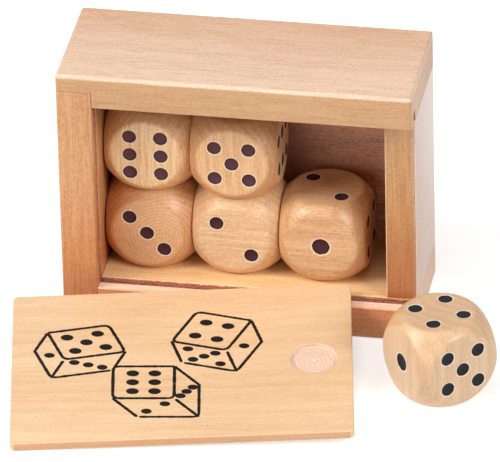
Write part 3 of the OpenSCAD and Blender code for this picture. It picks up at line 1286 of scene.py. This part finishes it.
@dataclass
class TornGroove:
    """The rough surface that a blunt saw leaves in the lid's groove, with splinters along its edges.

    Attributes:
        rise: How far the torn fibres stand out of the wall.
        fade: Width over which they die away at the wall's edges.
        width: Width of the groove.
        shift: Least and most that a splinter stands away from its place on the edge.
        tilt: Least and most turn of a splinter.
        share: Least and most size of a splinter, as a share of the full one.
        splinter: Thickness of a full splinter at its tip and at its root, as radii, and its length.
        walls: The groove's back walls.
        tree: The tree that makes every wall.
    """

    # Cells to the millimetre along the groove and across it
    CELLS = (4.0, 5.0)
    # Torn fibres lie along the cut, a third of a millimetre high and one or two long
    FIBRES = (0.7, 2.6, 1.0)
    # How far the flat parts lie below the CAD solid's own wall
    SUNK = 0.03
    SPLINTER_SIDES, SPLINTER_RINGS = 6, 3

    rise: float = 0.3
    fade: float = 0.35
    width: float = 2.8
    # The splinters stay below the face of the board, clear of the dice and the lid
    shift: tuple[Triple, Triple] = ((-1.6, -0.35, -0.08), (1.6, -0.12, 0.08))
    tilt: tuple[Triple, Triple] = ((-0.4, -0.25, -0.15), (0.4, 0.25, 0.15))
    share: tuple[Triple, Triple] = ((0.25, 0.5, 0.4), (1.0, 1.3, 1.0))
    splinter: Triple = (0.02, 0.13, 1.5)
    walls: tuple[GrooveWall, ...] = (
        GrooveWall("torn_groove_bottom", "box_board", (5.2, -13.4, 8.2), ALONG_X, ALONG_Z, 89.4, 3.2, 40),
        GrooveWall("torn_groove_top", "box_board", (5.2, -13.4, 69.8), TO_LEFT, DOWN, 89.4, 3.2, 16),
        GrooveWall("torn_groove_end", "end_board", (-42.6, -13.4, 39.0), DOWN, ALONG_X, 57.6, 4.6, 3),
    )
    tree: bpy.types.NodeTree = field(init=False)

    def __post_init__(self) -> None:
        """Builds the tree that makes every wall."""
        self.tree = self.build_tree()

    def scattered(
        self, tree: bpy.types.NodeTree, seed: bpy.types.NodeSocket, draw: int, reach: tuple[Triple, Triple]
    ) -> bpy.types.Node:
        """Draws a random vector for each splinter.

        Args:
            tree: The tree to build in.
            seed: The wall's own seed.
            draw: Number that keeps this draw apart from the others.
            reach: Lowest and highest vector.

        Returns:
            The node that draws it.
        """
        own = add(tree, "ShaderNodeMath", (seed, float(draw)), operation="ADD")
        given = {"Min": reach[0], "Max": reach[1], "Seed": own}
        return add(tree, "FunctionNodeRandomValue", given, data_type="FLOAT_VECTOR")

    def build_tree(self) -> bpy.types.NodeTree:
        """Builds the tree of a torn wall, which lies along X with its outer side towards +Z.

        Returns:
            The tree, in millimetres until its last step.
        """
        tree, given = shape_tree(
            "torn_wall",
            {
                "Length": 50.0, "Height": 3.2, "Rise": self.rise, "Fade": self.fade, "Width": self.width,
                "Splinters": 20, "Seed": 1, "Place": NOWHERE, "Turn": NOWHERE, "Torn": "", "Bare": "",
            },
        )
        size = given.outputs
        columns = add(tree, "ShaderNodeMath", (size["Length"], self.CELLS[0]), operation="MULTIPLY")
        rows = add(tree, "ShaderNodeMath", (size["Height"], self.CELLS[1]), operation="MULTIPLY")
        wall = add(tree, "GeometryNodeMeshGrid", (size["Length"], size["Height"], columns, rows))
        spot = add(tree, "GeometryNodeInputPosition")
        stretched = add(tree, "ShaderNodeVectorMath", (spot, self.FIBRES), operation="MULTIPLY")
        grain = {"Vector": stretched, "W": size["Seed"], "Scale": 1.0, "Detail": 3.0}
        torn = add(tree, "ShaderNodeTexNoise", grain, noise_dimensions="4D")
        out = add(tree, "ShaderNodeMapRange", (torn, 0.35, 0.7, 0.0, size["Rise"]))
        edge = add(tree, "ShaderNodeMath", (size["Height"], 0.5), operation="MULTIPLY")
        inner = add(tree, "ShaderNodeMath", (edge, size["Fade"]), operation="SUBTRACT")
        across = add(tree, "ShaderNodeSeparateXYZ", (spot,)).outputs[1]
        off = add(tree, "ShaderNodeMath", (across,), operation="ABSOLUTE")
        left = add(tree, "ShaderNodeMapRange", (off, inner, edge, 1.0, 0.0))
        risen = add(tree, "ShaderNodeMath", (out, left), operation="MULTIPLY")
        height = add(tree, "ShaderNodeMath", (risen, self.SUNK), operation="SUBTRACT")
        offset = add(tree, "ShaderNodeCombineXYZ", {2: height})
        rough = add(tree, "GeometryNodeSetPosition", {"Geometry": wall, "Offset": offset})

        sides = {"Vertices": self.SPLINTER_SIDES, "Side Segments": self.SPLINTER_RINGS}
        sides.update(zip(("Radius Top", "Radius Bottom", "Depth"), self.splinter))
        cone = add(tree, "GeometryNodeMeshCone", sides, fill_type="TRIANGLE_FAN").outputs["Mesh"]
        lying = add(tree, "GeometryNodeTransform", {"Geometry": cone, "Rotation": (0.0, math.pi / 2, 0.0)})
        half = add(tree, "ShaderNodeMath", (size["Length"], 0.5), operation="MULTIPLY")
        minus = add(tree, "ShaderNodeMath", (half, -1.0), operation="MULTIPLY")
        lines = []
        for side, draw in ((0.0, 10), (size["Width"], 20)):
            start = add(tree, "ShaderNodeCombineXYZ", (minus, edge, side))
            end = add(tree, "ShaderNodeCombineXYZ", (half, edge, side))
            ends = {"Count": size["Splinters"], "Start Location": start, "Offset": end}
            line = add(tree, "GeometryNodeMeshLine", ends, mode="END_POINTS")
            shift, tilt, share = (
                self.scattered(tree, size["Seed"], draw + turn, reach)
                for turn, reach in enumerate((self.shift, self.tilt, self.share), start=1)
            )
            points = add(tree, "GeometryNodeSetPosition", {"Geometry": line, "Offset": shift})
            placed = {"Points": points, "Instance": lying, "Rotation": tilt, "Scale": share}
            lines.append(add(tree, "GeometryNodeInstanceOnPoints", placed))
        splinters = add(tree, "GeometryNodeJoinGeometry", (lines,))
        parts = [
            laid(tree, shape, size["Turn"], size["Place"], finish)
            for shape, finish in ((rough, size["Torn"]), (splinters, size["Bare"]))
        ]
        add(tree, "NodeGroupOutput", (add(tree, "GeometryNodeJoinGeometry", (parts,)),))
        return tree

    def make(self, torn: bpy.types.Material, bare: bpy.types.Material) -> list[bpy.types.Object]:
        """Makes every wall.

        Args:
            torn: Material of the rough surface.
            bare: Material of the fresh splinters.

        Returns:
            The walls.
        """
        pieces = []
        for seed, wall in enumerate(self.walls, start=1):
            along, across = Vector(wall.along), Vector(wall.across)
            turn = Matrix((along, across, along.cross(across))).transposed().to_euler()
            piece = grow(
                wall.name, self.tree,
                {
                    "Length": wall.length, "Height": wall.height, "Place": wall.middle, "Turn": tuple(turn),
                    "Splinters": wall.splinters, "Seed": seed, "Torn": torn, "Bare": bare,
                },
            )
            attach(piece, "box")
            pieces.append(piece)
        return pieces


@dataclass
class Box:
    """The glued box: its long boards and its back keep their CAD shape, and its ends are eased.

    Attributes:
        finishes: The wood of each CAD node.
        ends: The two ends.
    """

    finishes: Mapping[str, Wood]
    ends: tuple[EasedEnd, ...] = (
        EasedEnd("closed_end_board", ((-40.0, -19.7), (-40.0, -16.2), (-40.0, -13.4)), fresh=False),
        # The low end's eased edges at the lit mouth are pale: partly fresh sanded wood, partly a painted
        # highlight
        EasedEnd("low_end_board", ((41.3, -13.4), (50.0, -13.4)), fresh=True),
    )

    def make(self) -> list[bpy.types.Object]:
        """Dresses every board.

        Returns:
            The long boards, the back, the ends and the torn walls of the groove.
        """
        materials = {node: wood.material() for node, wood in self.finishes.items()}
        boards = [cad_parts[node] for node in materials]
        for board, material in zip(boards, materials.values()):
            for slot in board.material_slots:
                slot.material = material
        # Beech that sandpaper or a splinter has just laid bare: pale cream and dull, with no rings. On the
        # low end's eased edges its pale cream is also a painted highlight
        fresh = Wood(
            "fresh_beech", "#F8DFBE", "#DDB288", ALONG_Z, (0, -60, 0), band=0.0, end=0.0, sheen=0.0
        ).material()
        # Beech torn by a blunt saw: reddish brown, rough and dull, with lighter tufts
        torn = Wood(
            "torn_beech", "#D68C72", "#8A4A3A", ALONG_X, (0, -60, 0), band=0.0, mottle=1.2, fibre=1.6,
            end=0.0, roughness=0.85, sheen=0.0,
        ).material()
        eased = {end.node: end.make(materials[end.node], fresh) for end in self.ends}
        kept = [board for node, board in zip(materials, boards) if node not in eased]
        return [*kept, *eased.values(), *TornGroove().make(torn, fresh)]


def outward(azimuth: float, elevation: float) -> Vector:
    """The direction from the object towards something, with azimuth 0 at the front and 90 at the right."""
    turn, rise = math.radians(azimuth), math.radians(elevation)
    return Vector((math.sin(turn) * math.cos(rise), -math.cos(turn) * math.cos(rise), math.sin(rise)))


@dataclass
class Softbox:
    """A square studio lamp that looks at the object.

    Attributes:
        name: Name of the lamp.
        azimuth: Direction it stands in, in degrees from the front towards the right.
        elevation: Its height above the horizon, in degrees.
        level: How bright a white surface that faces it gets, where 1 is white.
        size: Side of the lamp, in metres.
        colour: Colour of its light.
        away: Distance from the object, in metres.
    """

    name: str
    azimuth: float
    elevation: float
    level: float
    size: float
    colour: str = "#FFFFFF"
    away: float = 3.0

    def make(self) -> None:
        """Puts the lamp in the scene."""
        data = bpy.data.lights.new(self.name, "AREA")
        data.shape, data.size = "SQUARE", self.size
        # A lamp of this power lights a white surface that faces it to its level
        data.energy = self.level * (math.pi * self.away) ** 2
        data.color = linear(self.colour)[:3]
        lamp = link_object(self.name, data)
        back = outward(self.azimuth, self.elevation)
        lamp.location = back * self.away
        lamp.rotation_euler = back.to_track_quat("Z", "Y").to_euler()


@dataclass
class Camera:
    """A long lens at the photograph's view angle.

    Attributes:
        azimuth: Direction it stands in, in degrees from the front towards the right.
        elevation: Its height above the horizon, in degrees.
        roll: Turn round its own axis, in degrees.
        target: The point that the view angles were measured at.
        away: Distance from that point.
        aim: How far to the right and up of that point the picture's middle lies.
        lens: Focal length.
        film: Width of the picture that the lens is given for.
    """

    azimuth: float = 10.86
    elevation: float = 30.34
    roll: float = -1.41
    target: Triple = (0.0, -1.7, 38.0)
    away: float = 2308.8
    aim: Pair = (0.92, -14.34)
    lens: float = 593.4
    film: float = 36.0

    def make(self) -> None:
        """Puts the camera in the scene and makes it the scene's own."""
        back = outward(self.azimuth, self.elevation)
        roll = math.radians(self.roll)
        level = Vector((math.cos(math.radians(self.azimuth)), math.sin(math.radians(self.azimuth)), 0.0))
        rise = back.cross(level)
        right = math.cos(roll) * level + math.sin(roll) * rise
        up = back.cross(right)
        stand = Vector(self.target) + back * self.away
        look = Vector(self.target) + right * self.aim[0] + up * self.aim[1] - stand
        z = -look.normalized()
        x = up.cross(z).normalized()
        data = bpy.data.cameras.new("camera")
        data.lens, data.sensor_width = self.lens, self.film
        data.clip_start, data.clip_end = 0.1, 50.0
        camera = link_object("camera", data)
        turn = Matrix((x, z.cross(x), z)).transposed().to_4x4()
        camera.matrix_world = Matrix.Translation(stand * MM) @ turn
        bpy.context.scene.camera = camera


@dataclass
class Studio:
    """A white floor, white surroundings and soft lamps.

    Attributes:
        lamps: The lamps.
        sky: Strength of the light from all round.
        floor: Colour of the floor.
        lift: Strength that the floor adds for the camera and for reflections, so that it shows as white.
        reach: Half the width of the floor, in metres.
    """

    lamps: Sequence[Softbox]
    sky: float = 0.03
    floor: str = "#E8E8E8"
    lift: float = 0.56
    reach: float = 6.0

    def shown(self, tree: bpy.types.NodeTree) -> bpy.types.Node:
        """Tells the rays that see the floor and the surroundings as white from those that are lit by them.

        Args:
            tree: Tree of the floor's material or of the surroundings.

        Returns:
            Node of 1 for rays from the camera, a reflection or a clear piece, and of 0 for the others.
        """
        rays = add(tree, "ShaderNodeLightPath").outputs
        seen = (rays["Is Camera Ray"], rays["Is Glossy Ray"])
        most = add(tree, "ShaderNodeMath", seen, operation="MAXIMUM")
        return add(tree, "ShaderNodeMath", (most, rays["Is Transmission Ray"]), operation="MAXIMUM")

    def make(self) -> None:
        """Builds the floor, the surroundings and the lamps."""
        mesh = bpy.data.meshes.new("floor")
        corners = ((-1, -1), (1, -1), (1, 1), (-1, 1))
        mesh.from_pydata([(x * self.reach, y * self.reach, 0.0) for x, y in corners], [], [(0, 1, 2, 3)])
        floor = link_object("floor", mesh)
        # Matt studio paper, an even white without a shine
        material = bpy.data.materials.new("white_paper")
        tree = emptied(material)
        paper = add(tree, "ShaderNodeBsdfDiffuse", {"Color": linear(self.floor)})
        strength = add(tree, "ShaderNodeMath", (self.shown(tree), self.lift), operation="MULTIPLY")
        glow = add(tree, "ShaderNodeEmission", {"Strength": strength})
        add(tree, "ShaderNodeOutputMaterial", (add(tree, "ShaderNodeAddShader", (paper, glow)),))
        mesh.materials.append(material)

        world = bpy.data.worlds.new("surroundings")
        bpy.context.scene.world = world
        tree = emptied(world)
        level = add(tree, "ShaderNodeMapRange", (self.shown(tree), 0.0, 1.0, self.sky, 1.0))
        light = add(tree, "ShaderNodeBackground", {"Strength": level.outputs[0]})
        add(tree, "ShaderNodeOutputWorld", (light,))
        for lamp in self.lamps:
            lamp.make()
        bpy.context.scene.view_settings.view_transform = "Standard"


# The lid's groove: its space behind the lip, in the two long boards and in the closed end
GROOVES = {
    "bottom_board": ((-50.5, -16.25, 6.5), (50.5, -13.35, 9.6)),
    "top_board": ((-50.5, -16.25, 68.4), (50.5, -13.35, 71.5)),
    "closed_end_board": ((-45.1, -16.25, 5.0), (-40.2, -13.35, 73.0)),
}


def box_finishes() -> dict[str, Wood]:
    """The boards' woods: sanded beech and a ply back, each from its own place in the log.

    Returns:
        The wood of each CAD node.
    """
    return {
        # Flat-sawn beech, sanded, with long soft flames and a fine speckle. Its pale pinkish cream top face
        # and the top of
        # its rounded front arris are painted glare and highlight, as every face below is darkened; the top
        # darkens towards the back as painted shade
        "top_board": Wood(
            "sanded_beech_top", "#F6D8C0", "#DDAF90", (0.9995, 0.02, 0.025), (0, 34, -20), band=0.16,
            painted_light=(PaintedLight("#D5C3A4", DOWN, -77.3, -76.6, 0.0), PaintedLight("#F0E2D6", ALONG_Y, -12, 19, 3.0)),
            sawn=(GROOVES["top_board"],),
        ),
        # The same beech a little paler. Its up-facing top keeps the palest colour as painted light, and the
        # floor inside
        # and darker as painted shade from the lid, and the right end is greyish rose as painted glare, like
        # the low end's face
        # the box is yellowed as painted warm bounce light; the faces below the top are darkened, the front
        # face is pinker
        "bottom_board": Wood(
            "sanded_beech_bottom", "#FFE8D2", "#E0B694", ALONG_X, (0, -30, -18), end=0.1,
            painted_light=(
                PaintedLight("#FCEFC8", ALONG_Y, -17.5, -12.5, 0.5, ((-50, -20, 9.7), (49.7, 20, 10.3))),
                PaintedLight("#EAD0AC", DOWN, -9.95, -9.5, 0.0, ((-51, -20, -1), (49.7, 20, 10))),
                PaintedLight("#E6D2C8", ALONG_X, 49.4, 49.8, 0.0), PaintedLight("#FBD3C3", TO_FRONT, 18.9, 19.5, 0.0),
            ),
            sawn=(GROOVES["bottom_board"],),
        ),
        # Beech from near the heart, sanded: orange brown, with upright fibres and darker pores. It reddens
        # and darkens
        # towards the bottom, painted shade and warm bounce light from the lid
        "closed_end_board": Wood(
            "sanded_beech_closed_end", "#DAA776", "#B87C50", ALONG_Z, (-62, -48, 0), ring=2.6,
            painted_light=(PaintedLight("#F4CFB8", DOWN, -50, -5),), sawn=(GROOVES["closed_end_board"],),
        ),
        # Sanded beech with upright fibres and a shine at a low angle. Its greyish rose outer right face is
        # painted glare,
        # as every other face is yellowed to orange brown; the whole board darkens and warms towards the
        # bottom, where the
        # painted glare fades, and its front, inner and back faces redden downwards as painted warm bounce
        # light from the lid
        "low_end_board": Wood(
            "sanded_beech_low_end", "#CCB1A3", "#AD826A", ALONG_Z, (80, 30, 0), ring=2.4, sheen=1.0,
            painted_light=(
                PaintedLight("#FFE4A4", TO_LEFT, -49.3, -48.7, 0.0), PaintedLight("#FBF0E2", DOWN, -60, -10),
                PaintedLight("#F0C4A8", DOWN, -45, -8, within=((41, -14, 0), (49.7, 20, 78))),
            ),
        ),
        # Lauan ply, only scraped: dull reddish brown with a strong open grain; its inner face darkens to
        # purple towards the left as painted shade
        "back_panel": Wood(
            "lauan_ply_back", "#E4AE90", "#A26850", ALONG_X, (0, 60, 90), band=0.0, mottle=0.8, roughness=0.6,
            painted_light=(PaintedLight("#A0848C", TO_LEFT, -38, 10, within=((-50, 17.2, 0), (50, 17.5, 80))),),
        ),
    }


def lid_finishes(lid: Lid) -> tuple[Wood, Wood, Ink]:
    """The lid's woods and its ink.

    Args:
        lid: The lid, whose fibres run along it where it lies.

    Returns:
        The wood of the board, the wood of the recess and the ink.
    """
    return (
        # Straight-grained beech, sanded fine: light straw, calm and nearly matt, with painted shade on its
        # front edge
        Wood(
            "sanded_beech_lid", "#F1D2AC", "#D3A472", lid.axis(0), (0, 10, 70), ring=5.0, band=0.16,
            fibre=0.7, painted_light=(lid.front_edge_shade("#EFDACB"),),
        ),
        # Beech cut by a turning bit: pinker, with fine rings round the recess's middle
        Wood(
            "routed_beech_recess", "#F2DACC", "#DDB698", ALONG_Z, (26.2, -46.4, 0), ring=1.25, band=0.4,
            fibre=0.8, end=0.0,
        ),
        Ink(),
    )


def dice_finishes() -> dict[str, tuple[Facing, PolishedWood]]:
    """The dice's birch, tumbled and waxed: honey tones that differ from die to die, with a soft broad shine.

    Returns:
        Facing and wood of the die on each body.
    """
    # The turned tone is painted shade: dark on the dice deep in the box, nearly white on those out in the
    # light
    return {
        "upper_left": (
            Facing.SIX,
            PolishedWood(
                "waxed_birch_upper_left", "#FFE0B4", "#D49C64", ALONG_Z, (-60, 20, 0), paint="#5E3C46"
            ),
        ),
        "upper_middle": (
            Facing.FIVE,
            PolishedWood(
                "waxed_birch_upper_middle", "#F2CCA2", "#C9925C", ALONG_Z, (30, 34, 0), paint="#583842"
            ),
        ),
        # Cut across the log, so that its year rings run round the front. Its left side darkens as painted
        # shade from the closed end
        "lower_left": (
            Facing.THREE,
            PolishedWood(
                "waxed_birch_lower_left", "#F8D0A4", "#C0824C", ALONG_Y, (-23.5, 0, 21), ring=1.0, band=0.22,
                fibre=0.7, sheen=0.55, painted_light=(PaintedLight("#F2D8C6", TO_LEFT, 26, 37),),
            ),
        ),
        "lower_middle": (
            Facing.TWO,
            PolishedWood(
                "waxed_birch_lower_middle", "#F0D2AE", "#CE9A68", ALONG_X, (0, 40, 50), turned="#FAF2E8"
            ),
        ),
        "lower_right": (
            Facing.ONE,
            PolishedWood(
                "waxed_birch_lower_right", "#E6BE94", "#BC8450", ALONG_X, (0, 22, 5), ring=2.6, sheen=0.6,
                turned="#FAF2EA",
            ),
        ),
        # Calmer grain, and a fresher paint that is still blue black
        "stray": (
            Facing.FOUR_UP,
            PolishedWood(
                "waxed_birch_stray", "#E6CAAA", "#C3915E", ALONG_Z, (75, -20, 0), ring=2.8, fibre=0.6,
                sheen=0.6, turned="#FBF5EA", paint="#24262F",
            ),
        ),
    }


def main() -> None:
    """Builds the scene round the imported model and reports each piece."""
    logging.basicConfig(level=logging.INFO, format="%(name)s %(message)s")
    lid, shape = Lid(), DieShape()
    pieces = [*Box(box_finishes()).make(), *lid.make(*lid_finishes(lid))]
    for body, (facing, finish) in dice_finishes().items():
        pieces.append(shape.make(f"{body}_die", body, facing, finish))
    for piece in pieces:
        LOG.info("%s: %d faces", piece.name, len(piece.data.polygons))
    Studio(
        lamps=(
            Softbox("key_left", -60, 35, 0.74, 1.3, "#FFF9F2"),
            Softbox("key_right", 60, 33, 0.56, 1.3, "#FFFAF5"),
            Softbox("low_front", -18, 12, 0.12, 1.3, "#FFF9F2"),
            Softbox("overhead", -10, 75, 0.28, 1.5, "#FFFDFA"),
        ),
    ).make()
    Camera().make()


if __name__ == "__main__":
    main()
